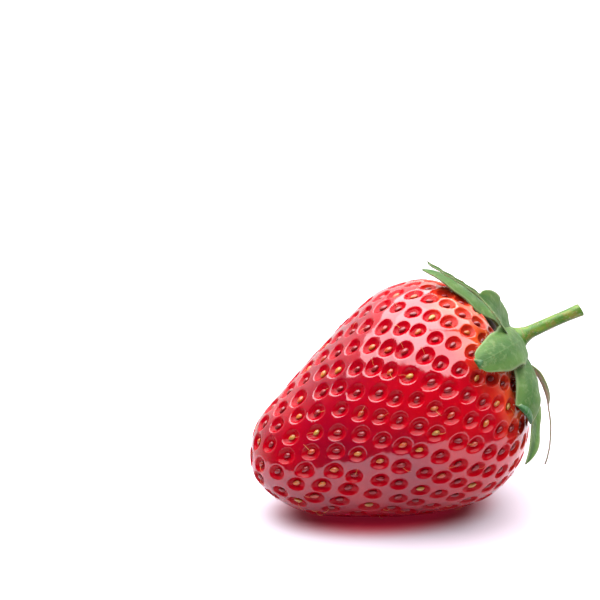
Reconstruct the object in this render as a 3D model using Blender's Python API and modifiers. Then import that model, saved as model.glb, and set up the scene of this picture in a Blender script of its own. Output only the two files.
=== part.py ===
"""A ripe strawberry lying on its side, as picked: the fruit, the calyx on its shoulder and the cut stem.

Frame: metres, +Z up. The origin is the middle of the small flat spot that the fruit rests on, straight below
its centre of mass. +X points from the tip towards the calyx.

Everything is modelled in the fruit's own upright frame, tip at the origin and stem end up, and an empty named
"strawberry" lays it on its side. In that upright frame an angle round the axis is 0 on the side that ends
uppermost, 90 degrees towards world -Y and 180 degrees on the belly.
"""

from collections import namedtuple
from math import cos, pi, radians, sin

import bmesh
import bpy
from mathutils import Matrix, Vector

# Fruit
FRUIT_LENGTH = 0.0430  # tip to the top of the neck
FRUIT_RADIUS = 0.01765  # at the shoulder, where it is widest
NECK_RADIUS = 0.0032
NECK_HEIGHT = 0.0010  # the neck above the shoulder
LEAN = radians(25.5)  # how far the stem end rises from the table
TIP_RISE = 0.0024  # the tip curls up, away from the table
NECK_RISE = 0.0015  # the neck sits off the middle, towards the upper side
PRESS = 0.00035  # how deep the belly is flattened where it rests
OVAL = 0.010  # share of the radius that the section is out of round
LOBES = 0.007  # share of the radius of its three soft lobes

# Calyx: the collar, and the sepals and bracts that grow from its side
COLLAR_RADIUS = 0.0030
COLLAR_HEIGHT = 0.0026
LEAF_THICKNESS = 0.00035
LEAF_START = 0.0004  # from the collar's side to the root edge of a leaf
LEAF_ROOT = 0.45  # the leaves' height on the collar's side, as a share of COLLAR_HEIGHT
LEAF_STANDOFF = 0.0009  # middle of a leaf above the fruit's skin, before its own lift
LEAF_ROOT_WIDTH = 0.26  # root of a leaf, as a share of its width
LEAF_WIDEST = 0.46  # where a leaf is widest, as a share of its length
LEAF_TIP_WIDTH = 0.04  # the tip's end isn't drawn to nothing

# Stem
STEM_RADIUS = 0.00085
STEM_LENGTH = 0.0101
STEM_SWEEP = 0.0010  # how far its cut end has swung towards world -Y
STEM_SAG = 0.0004  # how far its cut end has dropped below the fruit's axis
STEM_TAPER = ((0.0, 1.35), (0.12, 1.1), (0.45, 0.95), (0.8, 1.0), (1.0, 1.12))  # (share of length, of radius)

# Where separate pieces meet
GAP = 0.0003

# Fineness
FRUIT_STEPS = 48
COLLAR_STEPS = 24
OUTLINE_POINTS_PER_SPAN = 3
TRACK_POINTS_PER_SPAN = 8
LEAF_CELLS_ALONG = 12
LEAF_CELLS_ACROSS = 4

# The fruit's outline from the tip to the foot of the neck, as (share of its length, share of FRUIT_RADIUS)
FRUIT_OUTLINE = (
    (0.000, 0.000),
    (0.008, 0.105),
    (0.036, 0.250),
    (0.102, 0.442),
    (0.229, 0.606),
    (0.426, 0.813),
    (0.590, 0.946),
    (0.710, 1.000),
    (0.810, 0.960),
    (0.895, 0.867),
    (0.960, 0.703),
    (1.000, 0.487),
)

# The leaves round the collar, in the order they stand. Angles are in degrees. angle is round the axis, lift is
# above the skin at the root, the middle and the tip, swing is how far the tip turns round the axis, roll is
# about the leaf's own length, and point says how pointed it is, from 0.4, round, to 2, a long point. Neighbours
# overlap, so they take turns in root lift, upper and lower.
Leaf = namedtuple("Leaf", "name angle length width lift swing roll point")
LEAVES = (
    Leaf("sepal_3", 3, 0.0168, 0.0074, (-0.0004, 0.0001, 0.0012), 0, 0, 0.9),
    Leaf("bract_1", 35, 0.0195, 0.0036, (0.0001, 0.0006, 0.0092), -12, -45, 2.6),
    Leaf("sepal_1", 66, 0.0171, 0.0069, (0.0009, 0.0013, 0.0015), -4, 6, 0.46),
    Leaf("sepal_2", 95, 0.0143, 0.0075, (0.0002, 0.0003, 0.0003), 0, 15, 0.5),
    Leaf("bract_2", 124, 0.0174, 0.0050, (-0.0005, -0.0003, 0.0021), -4, 8, 1),
    Leaf("bract_3", 158, 0.0146, 0.0034, (0.0002, 0.0029, 0.0048), 14, 3, 1.9),
    Leaf("sepal_5", -128, 0.0152, 0.0070, (-0.0004, 0, 0.0008), 4, 0, 0.8),
    Leaf("bract_5", -95, 0.0160, 0.0040, (0.0002, 0.0008, 0.0030), 0, 0, 1.6),
    Leaf("sepal_4", -61, 0.0150, 0.0074, (-0.0004, 0, 0.0004), -3, 0, 0.6),
    Leaf("bract_4", -29, 0.0138, 0.0040, (0.0002, 0.0009, 0.0014), 5, 0, 1.4),
)

# The collar's half outline, top to bottom, as (share of COLLAR_RADIUS, share of COLLAR_HEIGHT)
COLLAR_OUTLINE = ((0, 1), (0.55, 1), (0.93, 0.72), (1, 0.35), (0.85, 0), (0, 0))

COLLECTION = bpy.data.collections.new("strawberry")
CUTTERS = bpy.data.collections.new("cutters")


def clear_scene():
    for obj in list(bpy.data.objects):
        bpy.data.objects.remove(obj)
    for collection in (COLLECTION, CUTTERS):
        bpy.context.scene.collection.children.link(collection)


def material(name, colour, roughness):
    """A Principled material of one colour, linear RGB."""
    made = bpy.data.materials.new(name)
    made.use_nodes = True
    shader = made.node_tree.nodes["Principled BSDF"]
    shader.inputs["Base Color"].default_value = (*colour, 1)
    shader.inputs["Roughness"].default_value = roughness
    return made


def ramp(value, start, end):
    """0 at start, 1 at end and straight in between."""
    return min(1.0, max(0.0, (value - start) / (end - start)))


def smooth_line(points, per_span):
    """Points on a smooth curve through these 2-D points (a centripetal Catmull-Rom spline)."""
    points = [Vector(p) for p in points]
    points = [2 * points[0] - points[1], *points, 2 * points[-1] - points[-2]]
    line = []
    for a, b, c, d in zip(points, points[1:], points[2:], points[3:]):
        ta = 0.0
        tb = ta + (b - a).length ** 0.5
        tc = tb + (c - b).length ** 0.5
        td = tc + (d - c).length ** 0.5
        for i in range(per_span):
            t = tb + (tc - tb) * i / per_span
            ab = a * (tb - t) / (tb - ta) + b * (t - ta) / (tb - ta)
            bc = b * (tc - t) / (tc - tb) + c * (t - tb) / (tc - tb)
            cd = c * (td - t) / (td - tc) + d * (t - tc) / (td - tc)
            abc = ab * (tc - t) / (tc - ta) + bc * (t - ta) / (tc - ta)
            bcd = bc * (td - t) / (td - tb) + cd * (t - tb) / (td - tb)
            line.append(abc * (tc - t) / (tc - tb) + bcd * (t - tb) / (tc - tb))
    line.append(points[-2])
    return line


def skin_points():
    """FRUIT_OUTLINE in metres, as (out, along)."""
    body = FRUIT_LENGTH - NECK_HEIGHT
    return [Vector((FRUIT_RADIUS * out, body * along)) for along, out in FRUIT_OUTLINE]


def fruit_outline():
    """The fruit's half outline as (out, along), from the middle of the neck's top to the tip."""
    foot = Vector((NECK_RADIUS * 1.5, FRUIT_LENGTH - NECK_HEIGHT / 2))
    top = Vector((NECK_RADIUS, FRUIT_LENGTH))
    line = smooth_line([*skin_points(), foot, top], OUTLINE_POINTS_PER_SPAN)
    return [Vector((0, FRUIT_LENGTH)), *reversed(line)]


def axis_shift(along):
    """How far the middle of the fruit's section lies towards the upper side, this far from the tip."""
    share = along / FRUIT_LENGTH
    return TIP_RISE * ramp(share, 0.5, 0) ** 1.6 + NECK_RISE * ramp(share, 0.6, 1) ** 1.5


def upright(out, along, angle):
    """A point in the upright frame, at this distance out from the fruit's curved axis."""
    return Vector((-out * cos(angle) - axis_shift(along), -out * sin(angle), along))


def roundness(angle):
    """The share of the plain radius that the section has at this angle."""
    return 1 + OVAL * cos(2 * angle + 0.7) + LOBES * cos(3 * angle - 0.4)


def turned(name, outline, steps):
    """A closed mesh: an outline from its top on the axis to its bottom there, turned about the axis."""
    profile = bmesh.new()
    points = [profile.verts.new((out, 0, along)) for out, along in outline]
    for a, b in zip(points, points[1:]):
        profile.edges.new((a, b))
    mesh = bpy.data.meshes.new(name)
    profile.to_mesh(mesh)
    profile.free()
    turner = bpy.data.objects.new(name, mesh)
    COLLECTION.objects.link(turner)
    screw = turner.modifiers.new("turn", "SCREW")
    screw.steps = screw.render_steps = steps
    screw.use_merge_vertices = True
    screw.merge_threshold = 1e-5
    bpy.context.view_layer.update()
    solid = bpy.data.meshes.new_from_object(turner.evaluated_get(bpy.context.evaluated_depsgraph_get()))
    turner.modifiers.clear()
    turner.data = solid
    return turner


def centre_of_mass(mesh):
    """The middle of a closed mesh's volume."""
    mesh.calc_loop_triangles()
    volume = 0
    moment = Vector()
    for triangle in mesh.loop_triangles:
        a, b, c = (mesh.vertices[i].co for i in triangle.vertices)
        share = a.dot(b.cross(c)) / 6
        volume += share
        moment += share * (a + b + c) / 4
    return moment / volume


def make_fruit():
    """The fleshy fruit, a turned body bent along its curved axis and pressed out of round."""
    fruit = turned("fruit", fruit_outline(), FRUIT_STEPS)
    for vertex in fruit.data.vertices:
        side, up, along = -vertex.co.y, -vertex.co.x, vertex.co.z
        out = (side**2 + up**2) ** 0.5
        if out > NECK_RADIUS:
            blend = ramp(out, NECK_RADIUS, FRUIT_RADIUS / 2)
            angle = Vector((up, side)).angle_signed(Vector((1, 0)))
            out *= 1 + (roundness(angle) - 1) * blend
            vertex.co = upright(out, along, angle)
        else:
            vertex.co.x -= axis_shift(along)
    fruit.data.materials.append(material("fruit_skin", (0.60, 0.006, 0.010), 0.22))
    fruit.data.shade_smooth()
    return fruit


def lay_down(fruit):
    """The empty that everything is parented to. It puts the resting spot's middle at the world's origin."""
    turn = Matrix.Rotation(pi / 2 - LEAN, 4, "Y")
    below = (turn @ centre_of_mass(fruit.data)).x
    lowest = min((turn @ vertex.co).z for vertex in fruit.data.vertices)
    frame = bpy.data.objects.new("strawberry", None)
    COLLECTION.objects.link(frame)
    frame.matrix_world = Matrix.Translation((-below, 0, -lowest - PRESS)) @ turn
    fruit.parent = frame
    return frame


def flatten_belly(fruit):
    """Cuts the fruit off level with the table, which leaves the small flat spot that it rests on."""
    size = 3 * FRUIT_LENGTH
    bpy.ops.mesh.primitive_cube_add(size=size, location=(0, 0, -size / 2))
    table = bpy.context.object
    table.name = "table_cutter"
    table.display_type = "WIRE"
    table.hide_render = True
    for collection in table.users_collection:
        collection.objects.unlink(table)
    CUTTERS.objects.link(table)
    cut = fruit.modifiers.new("resting_spot", "BOOLEAN")
    cut.operation = "DIFFERENCE"
    cut.solver = "EXACT"
    cut.object = table


def make_collar():
    """The green collar on the neck, which the sepals, bracts and stem grow from."""
    base = FRUIT_LENGTH + GAP
    outline = [(COLLAR_RADIUS * out, base + COLLAR_HEIGHT * up) for out, up in COLLAR_OUTLINE]
    collar = turned("calyx_collar", outline, COLLAR_STEPS)
    for vertex in collar.data.vertices:
        vertex.co.x -= axis_shift(FRUIT_LENGTH)
    collar.data.materials.append(material("collar_green", (0.22, 0.42, 0.10), 0.5))
    collar.data.shade_smooth()
    return collar


def leaf_track():
    """The line that a leaf's middle follows, (out, along), from the collar and over the fruit's shoulder."""
    skin = skin_points()
    above = []
    for before, here, after in zip(skin[4:], skin[5:], skin[6:]):
        run = (after - before).normalized()
        above.append(here + LEAF_STANDOFF * Vector((run.y, -run.x)))
    above.append(skin[-1] + LEAF_STANDOFF * Vector((0.35, 1)))
    root = Vector((COLLAR_RADIUS + LEAF_START, FRUIT_LENGTH + GAP + COLLAR_HEIGHT * LEAF_ROOT))
    arch = root.lerp(above[-1], 0.5) + LEAF_STANDOFF * Vector((0, LEAF_ROOT))
    return smooth_line([root, arch, *reversed(above)], TRACK_POINTS_PER_SPAN)


def track_point(track, distance):
    """The place (out, along) and the outward direction at this distance along the track."""
    for a, b in zip(track, track[1:]):
        step = (b - a).length
        if distance <= step:
            break
        distance -= step
    run = (b - a).normalized()
    return a + run * distance, Vector((-run.y, run.x))


def leaf_half_width(share, point):
    """Half the width at this share of the length, as a share of half the widest."""
    root = LEAF_ROOT_WIDTH + (1 - LEAF_ROOT_WIDTH) * sin(ramp(share, 0, LEAF_WIDEST) * pi / 2)
    tip = max(LEAF_TIP_WIDTH, 1 - ramp(share, LEAF_WIDEST, 1) ** 2)
    return root * tip ** (0.75 * point)


def make_leaf(leaf, track, skin):
    """One sepal or bract: a grid laid over the fruit's shoulder in the shape of a leaf, and given thickness."""
    root_lift, middle_lift, tip_lift = leaf.lift
    grid = bmesh.new()
    bmesh.ops.create_grid(grid, x_segments=LEAF_CELLS_ALONG, y_segments=LEAF_CELLS_ACROSS, size=1)
    for vertex in grid.verts:
        share = (vertex.co.x + 1) / 2
        across = vertex.co.y
        half = leaf.width / 2 * leaf_half_width(share, leaf.point)
        turn = radians(leaf.roll) * sin(ramp(share, 0, 0.6) * pi / 2)
        lift = root_lift + (middle_lift - root_lift) * sin(ramp(share, 0, 0.5) * pi / 2)
        lift += (tip_lift - middle_lift) * ramp(share, 0.5, 1) ** 1.5
        lift += half * (abs(sin(turn)) + sin(turn) * across)
        place, outward = track_point(track, share * leaf.length)
        out, along = place + outward * lift
        spread = half * across * cos(turn) / max(out, COLLAR_RADIUS)
        angle = radians(leaf.angle + leaf.swing * share**2) + spread
        vertex.co = upright(out, along, angle)
    mesh = bpy.data.meshes.new(leaf.name)
    grid.to_mesh(mesh)
    grid.free()
    made = bpy.data.objects.new(leaf.name, mesh)
    COLLECTION.objects.link(made)
    wall = made.modifiers.new("thickness", "SOLIDIFY")
    wall.thickness = LEAF_THICKNESS
    wall.offset = 0
    mesh.materials.append(skin)
    mesh.shade_smooth()
    return made


def make_stem():
    """The cut stem: a tapered curve from the collar that swings a little to one side."""
    start = FRUIT_LENGTH + COLLAR_HEIGHT + 2 * GAP
    middle = axis_shift(FRUIT_LENGTH)
    curve = bpy.data.curves.new("stem", "CURVE")
    curve.dimensions = "3D"
    curve.bevel_depth = STEM_RADIUS
    curve.bevel_resolution = 3
    curve.resolution_u = 4
    curve.use_fill_caps = True
    spline = curve.splines.new("NURBS")
    spline.use_endpoint_u = True
    spline.order_u = 3
    spline.points.add(len(STEM_TAPER) - 1)
    for point, (share, thickness) in zip(spline.points, STEM_TAPER):
        bend = share**1.5
        point.co = (-middle + STEM_SAG * bend, -STEM_SWEEP * bend, start + STEM_LENGTH * share, 1)
        point.radius = thickness
    stem = bpy.data.objects.new("stem", curve)
    COLLECTION.objects.link(stem)
    curve.materials.append(material("stem_green", (0.20, 0.46, 0.04), 0.45))
    return stem


def main():
    clear_scene()
    fruit = make_fruit()
    frame = lay_down(fruit)
    flatten_belly(fruit)
    greens = {
        "sepal": material("sepal_green", (0.20, 0.42, 0.16), 0.55),
        "bract": material("bract_green", (0.17, 0.38, 0.13), 0.55),
    }
    track = leaf_track()
    pieces = [make_collar(), make_stem()]
    pieces += [make_leaf(leaf, track, greens[leaf.name[:5]]) for leaf in LEAVES]
    for piece in pieces:
        piece.parent = frame


main()
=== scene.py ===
import math
import random

import bmesh
import bpy
import numpy as np
from mathutils import Matrix, Vector


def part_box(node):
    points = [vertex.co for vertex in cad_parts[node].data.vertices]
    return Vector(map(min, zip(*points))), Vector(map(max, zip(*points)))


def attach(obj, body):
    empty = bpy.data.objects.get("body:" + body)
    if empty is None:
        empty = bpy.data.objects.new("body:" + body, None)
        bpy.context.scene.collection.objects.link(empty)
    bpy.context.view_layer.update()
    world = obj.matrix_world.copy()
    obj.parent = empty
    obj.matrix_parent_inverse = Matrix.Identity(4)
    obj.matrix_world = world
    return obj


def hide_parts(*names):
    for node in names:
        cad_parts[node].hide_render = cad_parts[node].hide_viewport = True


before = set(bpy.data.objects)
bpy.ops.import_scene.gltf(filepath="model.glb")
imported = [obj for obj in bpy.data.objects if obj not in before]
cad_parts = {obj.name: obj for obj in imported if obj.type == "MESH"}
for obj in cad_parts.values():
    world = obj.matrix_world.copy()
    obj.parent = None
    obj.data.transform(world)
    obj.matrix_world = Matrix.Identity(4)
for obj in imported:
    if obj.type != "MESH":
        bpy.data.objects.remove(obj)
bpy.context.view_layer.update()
mm = 0.001
goldenTurn = math.pi * (3 - math.sqrt(5))  # each seed stands this far round from the last


class Wire:
    # one output of a node: arithmetic on it adds Math nodes to its tree
    def __init__(self, tree, socket):
        self.tree = tree
        self.socket = socket

    def math(self, operation, *others):
        return addNode(self.tree, "ShaderNodeMath", {"operation": operation}, [self, *others])

    def __add__(self, other):
        return self.math("ADD", other)

    def __mul__(self, other):
        return self.math("MULTIPLY", other)

    def __sub__(self, other):
        return self.math("SUBTRACT", other)

    def __rsub__(self, other):
        return addNode(self.tree, "ShaderNodeMath", {"operation": "SUBTRACT"}, [other, self])

    def __truediv__(self, other):
        return self.math("DIVIDE", other)

    def __pow__(self, other):
        return self.math("POWER", other)

    __radd__ = __add__
    __rmul__ = __mul__


def addNode(tree, kind, settings=None, values=None, output=0):
    # settings are set first, then the sockets take their values or links
    node = tree.nodes.new(kind)
    for name, setting in (settings or {}).items():
        if name == "stops":
            stops = node.color_ramp.elements
            while len(stops) < len(setting):
                stops.new(0.5)
            for stop, (place, colour) in zip(stops, setting):
                stop.position = place
                stop.color = (*colour, 1)
        else:
            setattr(node, name, setting)
    values = values or {}
    pairs = values.items() if isinstance(values, dict) else enumerate(values)
    for key, value in pairs:
        socket = node.inputs[key]
        if isinstance(value, Wire):
            tree.links.new(value.socket, socket)
        elif socket.type == "RGBA" and len(value) == 3:
            socket.default_value = (*value, 1)
        else:
            socket.default_value = value
    return Wire(tree, node.outputs[output])


def mixColour(tree, share, first, second):
    return addNode(tree, "ShaderNodeMix", {"data_type": "RGBA"}, {0: share, 6: first, 7: second}, output=2)


def vectorMath(tree, operation, *values, output=0):
    return addNode(tree, "ShaderNodeVectorMath", {"operation": operation}, list(values), output)


def fade(tree, value, start, end, low=0.0, high=1.0):
    # low up to start, high from end on, with a soft step between
    return addNode(
        tree,
        "ShaderNodeMapRange",
        {"interpolation_type": "SMOOTHSTEP"},
        {"Value": value, "From Min": start, "From Max": end, "To Min": low, "To Max": high},
    )


def newFinish(name, constants):
    # a Principled material; constants are its shader's own sockets
    made = bpy.data.materials.new(name)
    made.use_nodes = True
    shader = made.node_tree.nodes["Principled BSDF"]
    for socket, value in constants.items():
        shader.inputs[socket].default_value = value
    return made, made.node_tree, shader


def feed(tree, shader, **wires):
    for name, wire in wires.items():
        socket = name[0].upper() + "".join(" " + c if c.isupper() else c for c in name[1:])
        tree.links.new(wire.socket, shader.inputs[socket])


def noise(tree, where, scale, detail=3.0, roughness=0.5):
    values = {"Vector": where, "Scale": scale, "Detail": detail, "Roughness": roughness}
    return addNode(tree, "ShaderNodeTexNoise", {}, values)


def bumped(tree, height, strength=1.0, distance=1.0):
    values = {"Strength": strength, "Distance": distance, "Height": height}
    return addNode(tree, "ShaderNodeBump", {}, values)


def pieceCoordinates(tree):
    return addNode(tree, "ShaderNodeTexCoord", output=3)


def readAttribute(tree, name):
    return addNode(tree, "ShaderNodeAttribute", {"attribute_name": name}, output=2)


knobKinds = (
    (bpy.types.Object, "Object"),
    (bpy.types.Material, "Material"),
    (int, "Int"),
    (float, "Float"),
)


def growTree(name, knobs):
    # a Geometry Nodes tree with one named input for each knob
    tree = bpy.data.node_groups.new(name, "GeometryNodeTree")
    tree.interface.new_socket("Geometry", in_out="INPUT", socket_type="NodeSocketGeometry")
    tree.interface.new_socket("Geometry", in_out="OUTPUT", socket_type="NodeSocketGeometry")
    for knob, value in knobs.items():
        kind = next(word for sort, word in knobKinds if isinstance(value, sort))
        tree.interface.new_socket(knob, in_out="INPUT", socket_type="NodeSocket" + kind)
    entry = tree.nodes.new("NodeGroupInput")
    return tree, {socket.name: Wire(tree, socket) for socket in entry.outputs if socket.name}


def endTree(tree, geometry, finish):
    whole = addNode(tree, "GeometryNodeRealizeInstances", {}, [geometry])
    painted = addNode(tree, "GeometryNodeSetMaterial", {}, {"Geometry": whole, "Material": finish})
    ending = tree.nodes.new("NodeGroupOutput")
    tree.links.new(painted.socket, ending.inputs[0])


def growPiece(base, tree, knobs, name):
    # runs the tree on base and keeps the result as a plain mesh
    modifier = base.modifiers.new(tree.name, "NODES")
    modifier.node_group = tree
    for item in tree.interface.items_tree:
        if item.in_out == "INPUT" and item.name in knobs:
            modifier[item.identifier] = knobs[item.name]
    bpy.context.view_layer.update()
    graph = bpy.context.evaluated_depsgraph_get()
    mesh = bpy.data.meshes.new_from_object(base.evaluated_get(graph))
    base.modifiers.clear()
    mesh.name = name
    return addPiece(name, mesh)


def addPiece(name, mesh):
    piece = bpy.data.objects.new(name, mesh)
    bpy.context.scene.collection.objects.link(piece)
    return piece


def storeOn(mesh, name, values, kind="FLOAT"):
    # one value for each point of the mesh
    attribute = mesh.attributes.new(name, kind, "POINT")
    field = "vector" if kind == "FLOAT_VECTOR" else "value"
    attribute.data.foreach_set(field, np.asarray(values, np.float32).ravel())


def gridMesh(name, points, closed=False, uvs=False):
    # a mesh over a grid of points; closed joins each row's end to its start
    rows, columns = points.shape[:2]
    mesh = bpy.data.meshes.new(name)
    corner = np.arange(rows * columns).reshape(rows, columns)
    if closed:
        corner = np.concatenate([corner, corner[:, :1]], axis=1)
    faces = np.stack([corner[:-1, :-1], corner[:-1, 1:], corner[1:, 1:], corner[1:, :-1]], axis=-1)
    mesh.from_pydata(points.reshape(-1, 3).tolist(), [], faces.reshape(-1, 4).tolist())
    if uvs:
        layer = mesh.uv_layers.new(name="UVMap")
        index = np.zeros(len(mesh.loops), np.int32)
        mesh.loops.foreach_get("vertex_index", index)
        places = np.stack([index // columns / (rows - 1), index % columns / (columns - 1)], axis=-1)
        layer.data.foreach_set("uv", places.astype(np.float32).ravel())
    mesh.shade_smooth()
    return mesh


# the skin, seeds and leaves all follow this form
berry = {
    "length": 43.0 * mm,  # tip to the top of the neck
    "radius": 17.65 * mm,
    "neckRadius": 3.2 * mm,
    "neckHeight": 1.0 * mm,
    "lean": math.radians(25.5),  # stem end up from the table
    "tipRise": 2.4 * mm,
    "neckRise": 1.5 * mm,
    "oval": 0.010,
    "lobes": 0.007,
    "outline": (
        (0.000, 0.000),
        (0.008, 0.105),
        (0.036, 0.250),
        (0.102, 0.442),
        (0.229, 0.606),
        (0.426, 0.813),
        (0.590, 0.946),
        (0.710, 1.000),
        (0.810, 0.960),
        (0.895, 0.867),
        (0.960, 0.703),
        (1.000, 0.487),
    ),  # (share of the length, share of the radius)
}


def ramp(value, start, end):
    return np.clip((value - start) / (end - start), 0, 1)


def smoothLine(points, perSpan):
    # a centripetal Catmull-Rom curve through the points
    points = np.array(points, float)
    points = np.vstack([2 * points[0] - points[1], points, 2 * points[-1] - points[-2]])
    line = []
    for a, b, c, d in zip(points, points[1:], points[2:], points[3:]):
        ta = 0.0
        tb = ta + np.linalg.norm(b - a) ** 0.5
        tc = tb + np.linalg.norm(c - b) ** 0.5
        td = tc + np.linalg.norm(d - c) ** 0.5
        t = np.linspace(tb, tc, perSpan, endpoint=False)[:, None]
        ab = a * (tb - t) / (tb - ta) + b * (t - ta) / (tb - ta)
        bc = b * (tc - t) / (tc - tb) + c * (t - tb) / (tc - tb)
        cd = c * (td - t) / (td - tc) + d * (t - tc) / (td - tc)
        abc = ab * (tc - t) / (tc - ta) + bc * (t - ta) / (tc - ta)
        bcd = bc * (td - t) / (td - tb) + cd * (t - tb) / (td - tb)
        line.append(abc * (tc - t) / (tc - tb) + bcd * (t - tb) / (tc - tb))
    return np.vstack([*line, points[-2]])


def outlinePoints():
    body = berry["length"] - berry["neckHeight"]
    return [np.array((berry["radius"] * out, body * along)) for along, out in berry["outline"]]


def axisShift(along):
    share = along / berry["length"]
    return berry["tipRise"] * ramp(share, 0.5, 0) ** 1.6 + berry["neckRise"] * ramp(share, 0.6, 1) ** 1.5


def upright(out, along, angle):
    # a point of the berry as it would stand on its tip; angle 0 ends uppermost, 90 degrees towards -Y
    side = -out * np.sin(angle)
    return np.stack([-out * np.cos(angle) - axisShift(along), side, along + 0 * side], axis=-1)


def skinPlace(latitude, angle):
    # latitude runs from 0 at the tip to pi at the neck, and even steps of its cosine hold equal areas
    out = np.interp(latitude, latitudes, profile[:, 0])
    along = np.interp(latitude, latitudes, profile[:, 1])
    blend = ramp(out, berry["neckRadius"], berry["radius"] / 2)
    wave = berry["oval"] * np.cos(2 * angle + 0.7) + berry["lobes"] * np.cos(3 * angle - 0.4)
    return upright(out * (1 + wave * blend), along, angle)


layDown = np.array(Matrix.Rotation(math.pi / 2 - berry["lean"], 3, "Y"))
neckFoot = (berry["neckRadius"] * 1.5, berry["length"] - berry["neckHeight"] / 2)
neckTop = (berry["neckRadius"], berry["length"])
profile = np.vstack([smoothLine([*outlinePoints(), neckFoot, neckTop], 40), (0, berry["length"])])
steps = np.linalg.norm(np.diff(profile, axis=0), axis=1)
skinArea = np.concatenate([[0], np.cumsum(math.pi * (profile[1:, 0] + profile[:-1, 0]) * steps)])
latitudes = np.arccos(1 - 2 * skinArea / skinArea[-1])

# the berry is laid where the CAD fruit lies
sweepLatitude, sweepAngle = np.meshgrid(np.linspace(0, math.pi, 200), np.linspace(0, 2 * math.pi, 200))
swept = skinPlace(sweepLatitude, sweepAngle).reshape(-1, 3) @ layDown.T
cadLow, cadHigh = (np.array(corner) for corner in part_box("fruit"))
rest = np.array((cadLow[0] - swept[:, 0].min(), 0, cadHigh[2] - swept[:, 2].max()))


def lie(points):
    return points @ layDown.T + rest


skinLook = {
    "ripe": (0.250, 0.0004, 0.0065),
    "deep": (0.160, 0.0002, 0.0085),
    "flush": (0.37, 0.0007, 0.0045),  # the brighter red of the upper half
    "shoulder": (0.46, 0.055, 0.012),  # the orange-red ring by the calyx
    "pale": (0.55, 0.18, 0.060),
    # painted light: a brighter, purer red for the dimples' insides, standing in for the light they catch
    "paintedLitHollow": (0.31, 0.0003, 0.0045),
    "grain": 0.00003,
    "rim": 0.25,  # how sharply the dimples' rims turn
}
dimple = {
    "count": 400,
    "crowding": 0.12,  # how much closer the seeds stand towards the calyx
    "start": 0.002,  # share of the skin's area below the first seed
    "end": 0.972,
    "phase": 1.35,
    "stray": 0.10,  # how far a seed strays, in steps
    "depth": 0.60 * mm,
    "halfLength": 1.52 * mm,
    "halfWidth": 1.20 * mm,
    "egg": 0.14,  # wider towards the calyx
    "power": 3.6,
    "softRim": 0.12,
    "crispRim": 0.05,
    "draw": 0.45,  # how close the skin's points are drawn to the rims, 1 for not at all
    "clearance": 0.5 * mm,  # no seed lies lower than this, so none is under the resting spot
    "sizes": (0.9, 1.08),
    "chance": 7,
}


def skinFinish():
    made, tree, shader = newFinish(
        "berrySkin",
        {
            "IOR": 1.45,
            "Specular IOR Level": 0.02,
            "Coat Weight": 1.0,
            "Coat Roughness": 0.08,
            "Coat IOR": 1.64,
            "Subsurface Weight": 0.25,
            "Subsurface Radius": (1.0, 0.12, 0.08),
            "Subsurface Scale": 0.003,
        },
    )
    where = pieceCoordinates(tree)
    ring = readAttribute(tree, "dimple")
    shoulder = readAttribute(tree, "shoulder")
    blotch = noise(tree, where, 90, 4)
    colour = mixColour(tree, fade(tree, blotch, 0.35, 0.65), skinLook["deep"], skinLook["ripe"])
    upper = fade(tree, shoulder + (blotch - 0.5) * 0.4, 0.45, 0.95)
    colour = mixColour(tree, upper * 0.85, colour, skinLook["flush"])
    ragged = shoulder + (noise(tree, where, 220, 3) - 0.5) * 0.22
    colour = mixColour(tree, fade(tree, ragged, 0.78, 0.94), colour, skinLook["shoulder"])
    colour = mixColour(tree, fade(tree, ragged, 0.97, 1.10), colour, skinLook["pale"])
    inside = fade(tree, ring, 1.05, 0.93)
    # painted light: the dimples' insides are mixed towards a brighter red
    colour = mixColour(tree, inside * 0.6, colour, skinLook["paintedLitHollow"])
    speck = fade(tree, noise(tree, where, 2600, 2), 0.62, 0.75)
    colour = mixColour(tree, speck * 0.12, colour, skinLook["shoulder"])
    near = ring.math("SMOOTH_MIN", 1.0, dimple["crispRim"]) ** dimple["power"]
    soft = ring.math("SMOOTH_MIN", 1.0, dimple["softRim"]) ** dimple["power"]
    relief = (near - soft) * (dimple["depth"] * skinLook["rim"])
    relief = relief + noise(tree, where, 900, 3) * skinLook["grain"]
    bump = bumped(tree, relief)
    gloss = fade(tree, noise(tree, where, 400, 3), 0.3, 0.7, 0.25, 0.35)
    feed(tree, shader, baseColor=colour, roughness=gloss, coatWeight=1 - inside * 0.86, normal=bump)
    return made


seedLook = {
    "coat": (
        (0.00, (0.14, 0.0008, 0.0030)),
        (0.68, (0.19, 0.0030, 0.0040)),
        (0.78, (0.34, 0.045, 0.008)),
        (0.90, (0.36, 0.150, 0.018)),
        (1.00, (0.30, 0.200, 0.028)),
    ),  # from red to straw
    "grime": (0.17, 0.004, 0.004),
}


def seedFinish():
    made, tree, shader = newFinish(
        "seedCoat",
        {
            "IOR": 1.5,
            "Coat Weight": 0.4,
            "Coat Roughness": 0.10,
            "Subsurface Weight": 0.2,
            "Subsurface Scale": 0.0006,
        },
    )
    where = pieceCoordinates(tree)
    ripeness = readAttribute(tree, "ripeness")
    colour = addNode(tree, "ShaderNodeValToRGB", {"stops": seedLook["coat"]}, {"Fac": ripeness})
    grime = noise(tree, where, 1800, 3)
    colour = mixColour(tree, fade(tree, grime, 0.4, 0.7) * 0.5, colour, seedLook["grime"])
    bump = bumped(tree, noise(tree, where, 2600, 2), 0.5, 0.00006)
    gloss = fade(tree, grime, 0.3, 0.7, 0.28, 0.45)
    feed(tree, shader, baseColor=colour, roughness=gloss, normal=bump)
    return made


threadLook = {"dark": (0.30, 0.05, 0.008), "light": (0.42, 0.17, 0.03)}


def threadFinish():
    made, tree, shader = newFinish("styleThread", {"Subsurface Weight": 0.1, "Subsurface Scale": 0.0005})
    tone = noise(tree, pieceCoordinates(tree), 500, 2)
    colour = mixColour(tree, fade(tree, tone, 0.35, 0.65), threadLook["dark"], threadLook["light"])
    feed(tree, shader, baseColor=colour, roughness=fade(tree, tone, 0.3, 0.7, 0.35, 0.5))
    return made


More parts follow.
